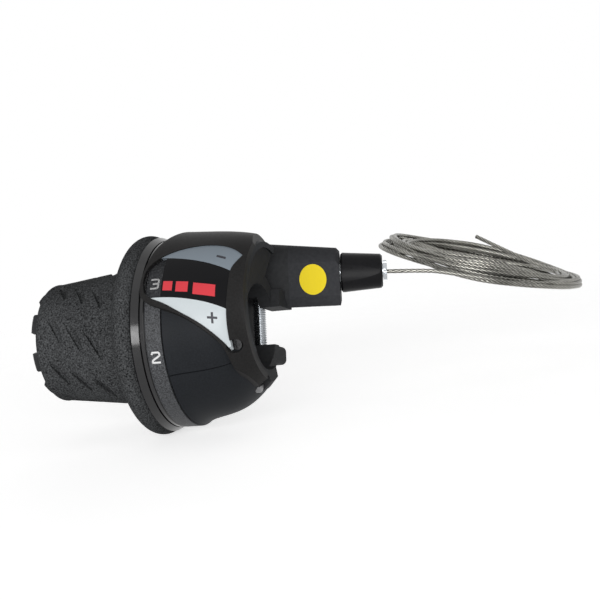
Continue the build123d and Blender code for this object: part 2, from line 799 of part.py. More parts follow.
# Rubber grip with its rim and slanted scoops
rim_points = [(rim_start_x + x, grip_root_r + r) for x, r in rim_edge]
with BuildPart() as rubber_grip:
    with BuildSketch(Plane.XZ):
        with BuildLine():
            Polyline(
                rim_points[-1],
                (rim_face_x, rim_points[-1][1] - rim_face_drop),
                (rim_face_x, rim_core_r),
                (rim_start_x + rim_wall, rim_core_r),
                (rim_start_x + rim_wall, barrel_r),
                (barrel_end_x, barrel_r),
                (barrel_end_x, barrel_r + grip_lip),
            )
            ThreePointArc(
                (barrel_end_x, barrel_r + grip_lip),
                (barrel_end_x + 0.25 * grip_round, grip_end_r - 0.3 * (grip_end_r - barrel_r - grip_lip)),
                (barrel_end_x + grip_round, grip_end_r),
            )
            Line((barrel_end_x + grip_round, grip_end_r), rim_points[0])
            Spline(*rim_points)
        make_face()
    revolve(axis=Axis.X)
    for i in range(scoop_rows):
        for x, turn in scoop_stations:
            scoop_deg = i * 360.0 / scoop_rows + turn
            share = (x - barrel_end_x) / (rim_start_x - barrel_end_x)
            surface_r = grip_end_r + (grip_root_r - grip_end_r) * share
            centre = Vector(polar(x, surface_r + scoop_lift, scoop_deg))
            slant = radians(scoop_slant)
            along = Vector(1, 0, 0) * cos(slant) - Vector(up_dir(scoop_deg)) * sin(slant)
            with BuildSketch(Plane(centre, x_dir=along, z_dir=out_dir(scoop_deg))):
                with BuildLine():
                    Line((-scoop_length / 2, 0), (scoop_length / 2, 0))
                    ThreePointArc((-scoop_length / 2, 0), (0, scoop_half_width), (scoop_length / 2, 0))
                make_face()
            revolve(axis=Axis(centre, -along), revolution_arc=scoop_sweep, mode=Mode.SUBTRACT)
save(rubber_grip, "rubber_grip")

with BuildPart() as number_ring:
    with BuildSketch(Plane.XZ):
        Polygon(
            (number_ring_x0, number_hub_r),
            (number_ring_x0, number_ring_r - number_ring_edge),
            (number_ring_x0 + number_ring_edge, number_ring_r),
            (number_ring_x1, number_ring_r),
            (number_ring_x1, number_hub_r),
            align=None,
        )
    revolve(axis=Axis.X)
save(number_ring, "number_ring")

with BuildPart() as cable_nipple:
    with BuildSketch(nipple_plane):
        Circle(nipple_r)
    extrude(amount=-nipple_length)
save(cable_nipple, "cable_nipple")

with BuildPart() as cable_wrap:
    with BuildSketch(at_angle(tangent_deg)):
        with Locations((spool_groove_x, wrap_r)):
            Circle(cable_r)
    revolve(axis=Axis.X, revolution_arc=wrap_arc)
save(cable_wrap, "cable_wrap")

# Adjuster: hollow screw with its fluted knob, and the casing seat that rides in it
adjuster_plane = Plane(outlet_point(0.0), x_dir=outlet_along, z_dir=-outlet_back)
adjuster_axis = Axis(outlet_point(0.0), outlet_along)
with BuildPart() as adjuster_screw:
    with BuildSketch(adjuster_plane):
        Polygon(
            (screw_s0, screw_bore_r),
            (screw_s0, thread_r - screw_chamfer),
            (screw_s0 + screw_chamfer, thread_r),
            (screw_s1, thread_r),
            (screw_s1, seat_neck_r + running_gap),
            (seat_collar_s0 - seat_neck_length - free_gap, seat_neck_r + running_gap),
            (seat_collar_s0 - seat_neck_length - free_gap, screw_bore_r),
            align=None,
        )
    revolve(axis=adjuster_axis)
save(adjuster_screw, "adjuster_screw")

with BuildPart() as adjuster_knob:
    with BuildSketch(adjuster_plane):
        Polygon(
            (knob_s0, thread_r),
            (knob_s0, knob_r0 - knob_edge),
            (knob_s0 + knob_edge, knob_r0),
            (knob_s1 - knob_edge, knob_r1),
            (knob_s1, knob_r1 - knob_edge),
            (knob_s1, thread_r),
            align=None,
        )
    revolve(axis=adjuster_axis)
    for i in range(knob_flutes):
        turn = radians(flute_turn_deg + i * 360.0 / knob_flutes)
        spoke = outlet_up * sin(turn) - outlet_back * cos(turn)
        flute_start = outlet_point(knob_s0) + spoke * (knob_r0 - flute_depth + flute_r)
        flute_end = outlet_point(flute_s1) + spoke * (knob_r1 + flute_r)
        with BuildSketch(Plane(flute_start, z_dir=flute_end - flute_start)):
            Circle(flute_r)
        extrude(amount=knob_s1 - knob_s0, mode=Mode.SUBTRACT)
save(adjuster_knob, "adjuster_knob")

with BuildPart() as casing_seat:
    with BuildSketch(adjuster_plane):
        Polygon(
            (seat_collar_s0 - seat_neck_length, screw_bore_r),
            (seat_collar_s0 - seat_neck_length, seat_neck_r),
            (seat_collar_s0, seat_neck_r),
            (seat_collar_s0, seat_collar_r),
            (seat_collar_s1 - seat_edge, seat_collar_r),
            (seat_collar_s1, seat_collar_r - seat_edge),
            (seat_collar_s1, screw_bore_r),
            align=None,
        )
    revolve(axis=adjuster_axis)
    with BuildSketch(outlet_plane(seat_collar_s0)):
        with PolarLocations(seat_collar_r, seat_notches):
            Circle(seat_notch_r)
    extrude(amount=seat_collar_s1 - seat_collar_s0, mode=Mode.SUBTRACT)
save(casing_seat, "casing_seat")

# Free cable: straight out of the adjuster, drooping into the coil, and the loose tail
coil_along = heading(outlet_yaw_deg, coil_drop_deg)
coil_axis = coil_along.cross(outlet_back)
run_droop = outlet_point(run_droop_s)
run_bend = outlet_point(run_bend_s, -run_bend_drop)
run_end = run_bend + coil_along * run_last
coil_centre = run_end + outlet_back * (coil_r + coil_lead) + coil_axis * coil_rise
droop_turn = (run_bend - run_droop).get_angle(outlet_along)
bend_turn = (run_bend - run_droop).get_angle(coil_along)
droop_radius = 0.45 * (run_bend - run_droop).length / tan(radians(droop_turn / 2))
bend_radius = 0.45 * run_last / tan(radians(bend_turn / 2))
with BuildPart() as cable_run:
    with BuildLine():
        FilletPolyline(
            outlet_point(elbow_s1), run_droop, run_bend, run_end, radius=[droop_radius, bend_radius]
        )
    with BuildSketch(outlet_plane(elbow_s1)):
        Circle(cable_r)
    sweep()
save(cable_run, "cable_run")

with BuildPart() as cable_coil:
    with BuildSketch(Plane(coil_centre, x_dir=coil_along, z_dir=-outlet_back)):
        with Locations((coil_r, 0)):
            Ellipse(coil_half_width, coil_half_height)
    revolve(axis=Axis(coil_centre, coil_axis))
save(cable_coil, "cable_coil")

tail_angle = radians(tail_turn_deg)
tail_start = coil_point(coil_r * sin(tail_angle), -coil_r * cos(tail_angle), 0.0)
tail_bend = coil_point(*tail_knee)
tail_end = coil_point(*tail_tip)
tail_turn = (tail_bend - tail_start).get_angle(tail_end - tail_bend)
tail_run = min((tail_bend - tail_start).length, (tail_end - tail_bend).length)
tail_radius = 0.45 * tail_run / tan(radians(tail_turn / 2))
with BuildPart() as cable_tail:
    with BuildLine():
        FilletPolyline(tail_start, tail_bend, tail_end, radius=[tail_radius])
    with BuildSketch(Plane(tail_start, z_dir=tail_bend - tail_start)):
        Circle(cable_r)
    sweep()
save(cable_tail, "cable_tail")
print("cable bend radii", droop_radius, bend_radius, tail_radius)
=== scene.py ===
"""Looks of a twist grip shifter: camera, light, finishes, cable strands, bolt thread and gear marks."""
import json

import bpy
import numpy as np
from mathutils import Matrix, Vector


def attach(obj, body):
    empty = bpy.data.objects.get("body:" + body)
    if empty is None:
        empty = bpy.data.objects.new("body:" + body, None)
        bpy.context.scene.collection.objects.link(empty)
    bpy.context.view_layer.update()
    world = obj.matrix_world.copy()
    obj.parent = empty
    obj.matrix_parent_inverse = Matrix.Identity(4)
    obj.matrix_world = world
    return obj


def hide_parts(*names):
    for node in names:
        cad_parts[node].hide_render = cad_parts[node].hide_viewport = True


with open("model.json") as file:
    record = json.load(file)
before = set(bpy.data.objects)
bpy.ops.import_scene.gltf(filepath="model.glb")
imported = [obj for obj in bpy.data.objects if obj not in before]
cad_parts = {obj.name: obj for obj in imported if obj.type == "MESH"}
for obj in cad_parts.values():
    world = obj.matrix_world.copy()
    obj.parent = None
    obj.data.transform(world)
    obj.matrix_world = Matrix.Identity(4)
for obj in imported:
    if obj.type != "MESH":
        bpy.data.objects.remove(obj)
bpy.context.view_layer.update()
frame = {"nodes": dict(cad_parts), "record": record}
scene = bpy.context.scene
nodes = frame["nodes"]
MM = 0.001


# Directions and sizes shared with the solids; lengths are in millimetres
CLAMP_TILT = np.radians(15.0)
BACK = np.array([0.0, np.cos(CLAMP_TILT), -np.sin(CLAMP_TILT)])
BOLT = np.array([0.0, np.sin(CLAMP_TILT), np.cos(CLAMP_TILT)])
ALONG = np.array([1.0, 0.0, 0.0])
CABLE_R = 0.55
RING_R = 24.3
WINDOW_TILT = np.radians(33.0)


def heading(yaw_deg, drop_deg):
    """Direction of the bar, turned towards the back and dropped below the level."""
    yaw, drop = np.radians([yaw_deg, drop_deg])
    return np.array([np.cos(yaw) * np.cos(drop), np.sin(yaw) * np.cos(drop), -np.sin(drop)])


WIRE_TILT = np.radians(12.55)
WIRE_STATION, WIRE_BACK, WIRE_UP = -7.7, 16.0, 14.9
OUTLET_START = np.array([WIRE_STATION, WIRE_BACK * np.cos(WIRE_TILT) + WIRE_UP * np.sin(WIRE_TILT),
                         WIRE_UP * np.cos(WIRE_TILT) - WIRE_BACK * np.sin(WIRE_TILT)])
OUTLET_YAW, OUTLET_DROP, COIL_DROP = 15.0, 4.29, 16.5
OUTLET_ALONG = heading(OUTLET_YAW, OUTLET_DROP)
OUTLET_BACK = heading(OUTLET_YAW + 90.0, 0.0)
OUTLET_UP = np.cross(OUTLET_ALONG, OUTLET_BACK)
COIL_ALONG = heading(OUTLET_YAW, COIL_DROP)
COIL_AXIS = np.cross(COIL_ALONG, OUTLET_BACK)
COIL_R = 26.3
# The run meets the coil this far outside its middle line and this far below it
COIL_LEAD = 1.95
COIL_RISE = 1.3


# Meshes
def grid_mesh(name, points, close_v=False, uv=None):
    """Mesh of a grid of points; rows run along u and columns along v, where it may close on itself."""
    rows, cols = points.shape[:2]
    i = np.arange(rows - 1)
    j = np.arange(cols if close_v else cols - 1)
    ii, jj = np.meshgrid(i, j, indexing="ij")
    ni, nj = ii + 1, (jj + 1) % cols
    quads = np.stack([ii * cols + jj, ii * cols + nj, ni * cols + nj, ni * cols + jj], -1).reshape(-1, 4)
    mesh = bpy.data.meshes.new(name)
    mesh.from_pydata((points.reshape(-1, 3) * MM).tolist(), [], quads.tolist())
    mesh.polygons.foreach_set("use_smooth", np.ones(len(quads), bool))
    if uv is not None:
        layer = mesh.uv_layers.new(name="UVMap")
        loops = np.zeros(len(mesh.loops), np.int32)
        mesh.loops.foreach_get("vertex_index", loops)
        layer.data.foreach_set("uv", uv.reshape(-1, 2)[loops].astype(np.float32).ravel())
    mesh.update()
    return mesh


def place(name, mesh, body, finish):
    """Object of a mesh that moves with a body and takes a finish."""
    obj = bpy.data.objects.new(name, mesh)
    scene.collection.objects.link(obj)
    mesh.materials.clear()
    mesh.materials.append(finish)
    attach(obj, body)
    return obj


# Shader helpers
def new_finish(name):
    """Empty material with its Principled shader and output."""
    finish = bpy.data.materials.new(name)
    finish.use_nodes = True
    tree = finish.node_tree
    tree.nodes.clear()
    shader = tree.nodes.new("ShaderNodeBsdfPrincipled")
    out = tree.nodes.new("ShaderNodeOutputMaterial")
    tree.links.new(shader.outputs[0], out.inputs[0])
    return finish, tree, shader


def value_node(tree, kind, operation, a, b=None, c=None):
    """Math or vector math node whose inputs are sockets or plain values."""
    node = tree.nodes.new(kind)
    node.operation = operation
    for k, given in enumerate((a, b, c)):
        if given is None:
            continue
        if isinstance(given, bpy.types.NodeSocket):
            tree.links.new(given, node.inputs[k])
        else:
            node.inputs[k].default_value = given
    return node


def maths(tree, operation, a, b=None, c=None):
    """Result of a math node."""
    return value_node(tree, "ShaderNodeMath", operation, a, b, c).outputs[0]


def vector_maths(tree, operation, a, b=None):
    """Number that a vector math node gives, such as a length or a dot product."""
    return value_node(tree, "ShaderNodeVectorMath", operation, a, b).outputs["Value"]


def mix_colour(tree, mask, first, second):
    """Colour that goes from the first to the second with the mask."""
    colour_a, colour_b, colour_result = 6, 7, 2
    node = tree.nodes.new("ShaderNodeMix")
    node.data_type = "RGBA"
    tree.links.new(mask, node.inputs["Factor"])
    for socket, given in ((node.inputs[colour_a], first), (node.inputs[colour_b], second)):
        if isinstance(given, bpy.types.NodeSocket):
            tree.links.new(given, socket)
        else:
            socket.default_value = (*given, 1.0)
    return node.outputs[colour_result]


def grain_group():
    """Moulded grain: fine speckle and broad mottling of a colour, with a height for bump; a strong speckle
    also stands for painted glints of light.

    Colour is the base times one plus speckle and mottling; height is the fine noise."""
    noise_mean, broad_scale, least_change, rough_swing = 0.5, 90.0, 0.05, 0.25
    group = bpy.data.node_groups.new("moulded_grain", "ShaderNodeTree")
    face = group.interface
    face.new_socket(name="Colour", in_out="INPUT", socket_type="NodeSocketColor")
    for label in ("Fine Scale", "Speckle", "Mottle", "Roughness"):
        face.new_socket(name=label, in_out="INPUT", socket_type="NodeSocketFloat")
    face.new_socket(name="Colour", in_out="OUTPUT", socket_type="NodeSocketColor")
    for label in ("Roughness", "Height"):
        face.new_socket(name=label, in_out="OUTPUT", socket_type="NodeSocketFloat")
    enter = group.nodes.new("NodeGroupInput")
    leave = group.nodes.new("NodeGroupOutput")
    where = group.nodes.new("ShaderNodeTexCoord")
    fine = group.nodes.new("ShaderNodeTexNoise")
    fine.inputs["Detail"].default_value = 3.0
    broad = group.nodes.new("ShaderNodeTexNoise")
    broad.inputs["Scale"].default_value = broad_scale
    broad.inputs["Detail"].default_value = 2.0
    link = group.links.new
    link(where.outputs["Object"], fine.inputs["Vector"])
    link(where.outputs["Object"], broad.inputs["Vector"])
    link(enter.outputs["Fine Scale"], fine.inputs["Scale"])
    fine_swing = maths(group, "SUBTRACT", fine.outputs[0], noise_mean)
    broad_swing = maths(group, "SUBTRACT", broad.outputs[0], noise_mean)
    change = maths(group, "MULTIPLY_ADD", fine_swing, enter.outputs["Speckle"], 1.0)
    change = maths(group, "MULTIPLY_ADD", broad_swing, enter.outputs["Mottle"], change)
    change = maths(group, "MAXIMUM", change, least_change)
    tint = value_node(group, "ShaderNodeVectorMath", "SCALE", enter.outputs["Colour"])
    link(change, tint.inputs["Scale"])
    link(tint.outputs[0], leave.inputs["Colour"])
    rough = maths(group, "MULTIPLY_ADD", fine_swing, rough_swing, enter.outputs["Roughness"])
    link(rough, leave.inputs["Roughness"])
    link(fine.outputs[0], leave.inputs["Height"])
    return group


GRAIN = grain_group()


def add_grain(tree, shader, colour, scale, speckle, mottle, rough, bump=0.0, depth=0.0):
    """Puts the moulded grain into a material, with its own values."""
    grain = tree.nodes.new("ShaderNodeGroup")
    grain.node_tree = GRAIN
    if isinstance(colour, bpy.types.NodeSocket):
        tree.links.new(colour, grain.inputs["Colour"])
    else:
        grain.inputs["Colour"].default_value = (*colour, 1.0)
    grain.inputs["Fine Scale"].default_value = scale
    grain.inputs["Speckle"].default_value = speckle
    grain.inputs["Mottle"].default_value = mottle
    grain.inputs["Roughness"].default_value = rough
    tree.links.new(grain.outputs["Colour"], shader.inputs["Base Color"])
    tree.links.new(grain.outputs["Roughness"], shader.inputs["Roughness"])
    if bump > 0:
        raised = tree.nodes.new("ShaderNodeBump")
        raised.inputs["Strength"].default_value = bump
        raised.inputs["Distance"].default_value = depth
        tree.links.new(grain.outputs["Height"], raised.inputs["Height"])
        tree.links.new(raised.outputs[0], shader.inputs["Normal"])


def moulded(name, colour, grain, metal=0.0, coat=0.0, level=0.5):
    """Finish of a moulded, plated or machined piece; level is how much it mirrors."""
    finish, tree, shader = new_finish(name)
    add_grain(tree, shader, colour, *grain)
    shader.inputs["Metallic"].default_value = metal
    shader.inputs["Coat Weight"].default_value = coat
    shader.inputs["Coat Roughness"].default_value = 0.08
    shader.inputs["Specular IOR Level"].default_value = level
    return finish


# Finishes: name, colour, grain and what else differs
# Grain: fine scale, speckle, mottling and roughness, then a bump's strength and its depth in metres
FINISH_TABLE = {
    "body_plastic": ("body_black_plastic", (0.039, 0.04, 0.042),
                     (900, 0.6, 0.3, 0.5, 0.15, 0.0001), {"level": 0.02}),
    "cover_plastic": ("cover_charcoal_plastic", (0.017, 0.0187, 0.0215),
                      (2600, 0.8, 0.15, 0.5, 0.2, 0.00006), {"level": 0.06}),
    "bezel_plastic": ("bezel_charcoal_plastic", (0.022, 0.0215, 0.0215),
                      (2200, 0.8, 0.2, 0.42, 0.15, 0.00006), {"level": 0.04}),
    "zinc_steel": ("zinc_plated_steel", (0.5, 0.52, 0.54),
                   (1500, 0.2, 0.3, 0.25, 0.1, 0.00004), {"metal": 1.0}),
    "outlet_plastic": ("outlet_grey_plastic", (0.046, 0.047, 0.051),
                       (1200, 0.6, 0.3, 0.5, 0.15, 0.0001), {"level": 0.01}),
    "boss_steel": ("dull_boss_steel", (0.2, 0.2, 0.205),
                   (1500, 0.3, 0.4, 0.4, 0.1, 0.00004), {"metal": 1.0}),
    "black_steel": ("black_oxide_steel", (0.02, 0.02, 0.021),
                    (1500, 0.3, 0.3, 0.35, 0.1, 0.00004), {}),
    "guide_nylon": ("guide_nylon", (0.66, 0.66, 0.6),
                    (900, 0.1, 0.1, 0.45, 0.05, 0.00004), {}),
    "cable_steel": ("dark_cable_steel", (0.2, 0.19, 0.165),
                    (1800, 0.6, 0.6, 0.33, 0.1, 0.00003), {"metal": 1.0}),
    # Strong light speckle: partly the rubber's grain and partly painted glints of light
    "grip_rubber": ("rubber_grain_and_painted_glints", (0.056, 0.058, 0.06),
                    (2600, 4.5, 0.5, 0.75, 0.35, 0.00012), {"level": 0.01}),
    "barrel_plastic": ("glossy_ring_plastic", (0.012, 0.012, 0.013),
                       (500, 0.15, 0.15, 0.16), {"coat": 0.12, "level": 0.4}),
    # Strong light speckle: partly the plastic's grain and partly painted glints of light
    "ring_plastic": ("number_ring_plastic", (0.056, 0.058, 0.062),
                     (3000, 4.2, 0.3, 0.5, 0.5, 0.0001), {"level": 0.22}),
    "knob_plastic": ("knob_black_plastic", (0.01, 0.01, 0.011),
                     (1600, 0.6, 0.4, 0.32, 0.12, 0.00006), {"level": 0.07}),
    "label_yellow": ("label_yellow_print", (0.87, 0.67, 0.007),
                     (1200, 0.06, 0.12, 0.4, 0.03, 0.00003), {"level": 0.15}),
    "white_print": ("white_print", (0.8, 0.8, 0.8),
                    (2500, 0.08, 0.08, 0.5), {}),
}
finishes = {key: moulded(name, colour, grain, **rest)
            for key, (name, colour, grain, rest) in FINISH_TABLE.items()}


def box_mask_group():
    """Mask that is one inside a slanted box.

    Position a lies between two limits, and b lies between two limits that drop with a."""
    group = bpy.data.node_groups.new("print_box", "ShaderNodeTree")
    face = group.interface
    for label in ("A", "B", "A Low", "A High", "B Low", "B High", "Slope"):
        face.new_socket(name=label, in_out="INPUT", socket_type="NodeSocketFloat")
    face.new_socket(name="Mask", in_out="OUTPUT", socket_type="NodeSocketFloat")
    enter = group.nodes.new("NodeGroupInput")
    leave = group.nodes.new("NodeGroupOutput")
    run = maths(group, "SUBTRACT", enter.outputs["A"], enter.outputs["A Low"])
    level = maths(group, "MULTIPLY_ADD", run, enter.outputs["Slope"], enter.outputs["B"])
    inside = maths(group, "GREATER_THAN", enter.outputs["A"], enter.outputs["A Low"])
    for operation, value, limit in (("LESS_THAN", enter.outputs["A"], "A High"),
                                    ("GREATER_THAN", level, "B Low"), ("LESS_THAN", level, "B High")):
        inside = maths(group, "MULTIPLY", inside, maths(group, operation, value, enter.outputs[limit]))
    group.links.new(inside, leave.inputs["Mask"])
    return group


PRINT_BOX = box_mask_group()
BOX_LIMITS = ("A Low", "A High", "B Low", "B High", "Slope")


def print_box(tree, a, b, box):
    """Mask of one printed box, whose limits and slope are in millimetres on the window."""
    node = tree.nodes.new("ShaderNodeGroup")
    node.node_tree = PRINT_BOX
    tree.links.new(a, node.inputs["A"])
    tree.links.new(b, node.inputs["B"])
    for label, number in zip(BOX_LIMITS, box):
        node.inputs[label].default_value = number
    return node.outputs["Mask"]


# Printed window: a is the station along the bar and b the height up the window
# Edges of the dark band: height, slope, curve, and the two stations between which it bends
UPPER_EDGE = (8.6, -0.349, -0.0118, -3.7, 2.6)
LOWER_EDGE = (-2.2, -0.247, -0.01005, -5.0, 3.5)
# Boxes: low and high station, low and high height, and drop per millimetre
RED_BARS = ((-12.2, -9.8, 0.3, 2.9, 0.05), (-8.9, -5.8, -0.1, 2.7, 0.06), (-4.5, 1.05, -0.9, 2.2, 0.12))
MINUS_MARK = (0.1, 2.5, 9.9, 10.6, 0.3)
PLUS_BAR = (-0.9, 1.5, -6.95, -6.4, 0.0)
PLUS_POST = (0.03, 0.58, -8.0, -5.4, 0.0)
BAND_BLACK = (0.008, 0.008, 0.009)
UPPER_SILVER = (0.235, 0.275, 0.315)
LOWER_SILVER = (0.62, 0.67, 0.69)
BAR_RED = (0.7, 0.06, 0.075)
MARK_GREY = (0.06, 0.06, 0.07)
CLEAR_BEFORE = -12.6
CLEARNESS = 0.85
WINDOW_GLOSS = 0.05


def window_finish():
    """Printed window: silver zones above and below a dark band, red bars and the turn marks.

    The band's edges are parabolas of the height over the station; the end over the number ring is clear."""
    finish, tree, shader = new_finish("printed_window")
    where = tree.nodes.new("ShaderNodeTexCoord")
    scaled = value_node(tree, "ShaderNodeVectorMath", "SCALE", where.outputs["Object"])
    scaled.inputs["Scale"].default_value = 1 / MM
    a = vector_maths(tree, "DOT_PRODUCT", scaled.outputs[0], (1.0, 0.0, 0.0))
    rise = (0.0, float(np.sin(WINDOW_TILT)), float(np.cos(WINDOW_TILT)))
    b = vector_maths(tree, "DOT_PRODUCT", scaled.outputs[0], rise)

    def edge(height, slope, curve, first, second):
        """Parabola: the height at the first station plus slope times run, plus curve times both runs."""
        from_first = maths(tree, "SUBTRACT", a, first)
        line = maths(tree, "MULTIPLY_ADD", from_first, slope, height)
        bend = maths(tree, "MULTIPLY", from_first, maths(tree, "SUBTRACT", a, second))
        return maths(tree, "MULTIPLY_ADD", bend, curve, line)

    above = maths(tree, "GREATER_THAN", b, edge(*UPPER_EDGE))
    below = maths(tree, "LESS_THAN", b, edge(*LOWER_EDGE))
    colour = mix_colour(tree, above, BAND_BLACK, UPPER_SILVER)
    colour = mix_colour(tree, below, colour, LOWER_SILVER)
    for boxes, ink in ((RED_BARS, BAR_RED), ((MINUS_MARK, PLUS_BAR, PLUS_POST), MARK_GREY)):
        for box in boxes:
            colour = mix_colour(tree, print_box(tree, a, b, box), colour, ink)
    add_grain(tree, shader, colour, 2600, 0.05, 0.06, 0.2)
    clear = maths(tree, "LESS_THAN", a, CLEAR_BEFORE)
    solid = maths(tree, "MAXIMUM", above, below)
    clear = maths(tree, "MULTIPLY", clear, maths(tree, "SUBTRACT", 1.0, solid))
    tree.links.new(maths(tree, "MULTIPLY_ADD", clear, -CLEARNESS, 1.0), shader.inputs["Alpha"])
    for label in ("Coat Weight", "Coat Roughness", "Specular IOR Level"):
        shader.inputs[label].default_value = WINDOW_GLOSS
    return finish


finishes["lens_clear"] = window_finish()
own_finish = {"boss_screw": "boss_steel", "cable_outlet": "outlet_plastic"}
slot_of = {s["node"]: s["material_slot"] for s in frame["record"]["subparts"]}
for name, obj in nodes.items():
    obj.data.materials.clear()
    obj.data.materials.append(finishes[own_finish.get(name, slot_of[name])])


# Shift cable
# Radius offset and height of each turn in front, at the right end, behind and at the left end
TURNS_IN_FRONT = np.array([(1.95, -1.3), (-3.0, -1.4), (-0.4, 1.4), (-6.0, 1.6), (1.2, -1.6), (-2.6, 2.6),
                           (-4.6, -0.6), (0.8, 0.6), (-7.0, 3.0), (-0.8, -0.6), (1.6, -2.0), (-1.4, 2.0)])
TURNS_RIGHT = np.array([(1.6, -1.4), (-1.0, -2.6), (0.8, -0.2), (-4.0, 0.2), (1.8, 0.4), (-0.2, -2.8),
                        (1.6, -0.8), (-2.6, 0.6), (0.8, -2.0), (2.4, -0.4), (2.6, -1.4), (-1.6, 0.4)])
TURNS_BEHIND = np.array([(0.2, 0.4), (-3.4, -1.8), (1.4, 1.6), (-1.2, -2.4), (-5.2, -1.2), (1.8, -0.5),
                         (-2.4, 1.0), (0.8, -1.2), (-6.4, -2.0), (-0.6, 2.2), (1.8, 1.2), (-1.6, 0.4)])
TURNS_LEFT = np.array([(2.0, -0.2), (-3.0, 1.4), (0.6, 0.5), (-1.4, 2.2), (1.4, -0.5), (-4.4, 2.0),
                       (1.0, 1.0), (-2.4, 1.2), (-0.6, 2.8), (-5.4, 1.0), (-1.6, 3.2), (0.0, 2.0)])
TURN_COUNT = 11.25
POINTS_PER_TURN = 24
# Distances along the outlet where the run starts, begins to droop and bends down, and how low the bend lies
RUN_START, RUN_DROOP, RUN_BEND, BEND_LOW = 4.8, 49.0, 58.3, 1.6
BEND_TO_COIL = 8.0
# Tail from the coil's centre: along the coil, towards the back and along the coil's axis
TAIL = np.array([[22.4, 5.9, 0.4], [16.4, 10.4, 0.7], [-0.9, 20.5, 5.0]])
SPLINE_STEPS = 80
PATH_STEP = 0.6
# Painted shade for the gaps between the strands; the strands' own steel colour follows
STRAND_GAP_SHADE = (0.012, 0.012, 0.01)
STRAND_STEEL = (0.46, 0.45, 0.41)


def cable_route():
    """Control points: out of the guide, drooping into the coil, its turns and a loose tail.

    A turn's radius offset and height blend between its four places with the squares of the angle's
    cosine and sine, and run evenly from one turn's value to the next one's."""
    turns = np.linspace(0.0, TURN_COUNT, int(round(TURN_COUNT * POINTS_PER_TURN)) + 1)
    angle = 2 * np.pi * turns
    forward, sideways = np.cos(angle), np.sin(angle)
    shares = np.clip([forward, sideways, -forward, -sideways], 0.0, 1.0) ** 2
    tables = (TURNS_IN_FRONT, TURNS_RIGHT, TURNS_BEHIND, TURNS_LEFT)
    offset, height = np.zeros_like(turns), np.zeros_like(turns)
    for quarter, (share, table) in enumerate(zip(shares, tables)):
        turn_at = np.arange(len(table)) + quarter / 4
        offset += share * np.interp(turns, turn_at, table[:, 0])
        height += share * np.interp(turns, turn_at, table[:, 1])
    start = OUTLET_START + OUTLET_ALONG * RUN_START
    droop = OUTLET_START + OUTLET_ALONG * RUN_DROOP
    bend = OUTLET_START + OUTLET_ALONG * RUN_BEND - OUTLET_UP * BEND_LOW
    end = bend + COIL_ALONG * BEND_TO_COIL
    centre = end + OUTLET_BACK * (COIL_R + COIL_LEAD) + COIL_AXIS * COIL_RISE
    coil = (centre + np.outer((COIL_R + offset) * sideways, COIL_ALONG)
            - np.outer((COIL_R + offset) * forward, OUTLET_BACK) + np.outer(height, COIL_AXIS))
    tail = TAIL @ np.array([COIL_ALONG, OUTLET_BACK, COIL_AXIS])
    return np.vstack([start, droop, bend, coil, centre + tail])


def run_length(path):
    """Length along a path up to each of its points."""
    return np.concatenate([[0.0], np.cumsum(np.linalg.norm(np.diff(path, axis=0), axis=1))])


def curve_points(points):
    """Points along the smooth spline that has these control points, kept at about even steps."""
    curve = bpy.data.curves.new("cable_route", "CURVE")
    curve.dimensions = "3D"
    spline = curve.splines.new("NURBS")
    spline.points.add(len(points) - 1)
    weighted = np.column_stack([points * MM, np.ones(len(points))])
    spline.points.foreach_set("co", weighted.astype(np.float32).ravel())
    spline.order_u = 3
    spline.use_endpoint_u = True
    spline.resolution_u = SPLINE_STEPS
    holder = bpy.data.objects.new("cable_route", curve)
    scene.collection.objects.link(holder)
    bpy.context.view_layer.update()
    mesh = bpy.data.meshes.new_from_object(holder.evaluated_get(bpy.context.evaluated_depsgraph_get()))
    found = np.zeros(len(mesh.vertices) * 3, np.float32)
    mesh.vertices.foreach_get("co", found)
    bpy.data.objects.remove(holder)
    bpy.data.curves.remove(curve)
    bpy.data.meshes.remove(mesh)
    found = found.reshape(-1, 3).astype(float) / MM
    run = run_length(found)
    return found[np.searchsorted(run, np.arange(0.0, run[-1], PATH_STEP))]


def stranded_tube(path):
    """Twisted strands: a ring with six lobes is carried along the path, turning evenly with the length;
    the ends are flat. The UV holds how far a strand bulges and the part of the length."""
    sides, lobes, lay = 24, 6, 9.0
    valley, swell = 0.86, 0.16
    step = np.gradient(path, axis=0)
    ahead = step / np.linalg.norm(step, axis=1, keepdims=True)
    side = np.cross(COIL_AXIS, ahead)
    side /= np.linalg.norm(side, axis=1, keepdims=True)
    over = np.cross(ahead, side)
    run = run_length(path)
    turn = np.linspace(0, 2 * np.pi, sides, endpoint=False)
    bulge = np.abs(np.cos(lobes / 2 * turn))
    radius = (CABLE_R * (valley + swell * bulge))[None, :, None]
    angle = (turn[None, :] + 2 * np.pi * run[:, None] / lay)[..., None]
    rings = path[:, None, :] + radius * (np.cos(angle) * side[:, None, :] + np.sin(angle) * over[:, None, :])
    first, last = (np.repeat(path[k][None, None], sides, 1) for k in (0, -1))
    part = np.concatenate([[0.0], run, run[-1:]]) / run[-1]
    pattern = np.stack(np.broadcast_arrays(bulge[None, :], part[:, None]), -1)
    return np.vstack([first, rings, last]), pattern


def stranded_finish():
    """Steel strands: painted shade in the gaps between them and pale steel where they bulge, with broad
    patches along the coil.
    """
    finish, tree, shader = new_finish("stranded_cable_steel")
    spread = tree.nodes.new("ShaderNodeUVMap")
    parts = tree.nodes.new("ShaderNodeSeparateXYZ")
    tree.links.new(spread.outputs[0], parts.inputs[0])
    # Painted shade in the gaps between the strands, the steel's own colour on their crests
    bulge = maths(tree, "POWER", parts.outputs[0], 2.0)
    colour = mix_colour(tree, bulge, STRAND_GAP_SHADE, STRAND_STEEL)
    add_grain(tree, shader, colour, 1800, 0.8, 1.6, 0.24)
    shader.inputs["Metallic"].default_value = 1.0
    return finish


path = curve_points(cable_route())
tube, strand_pattern = stranded_tube(path)
cable = place("shift_cable", grid_mesh("shift_cable", tube, close_v=True, uv=strand_pattern), "cable",
              stranded_finish())
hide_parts("cable_run", "cable_coil", "cable_tail")


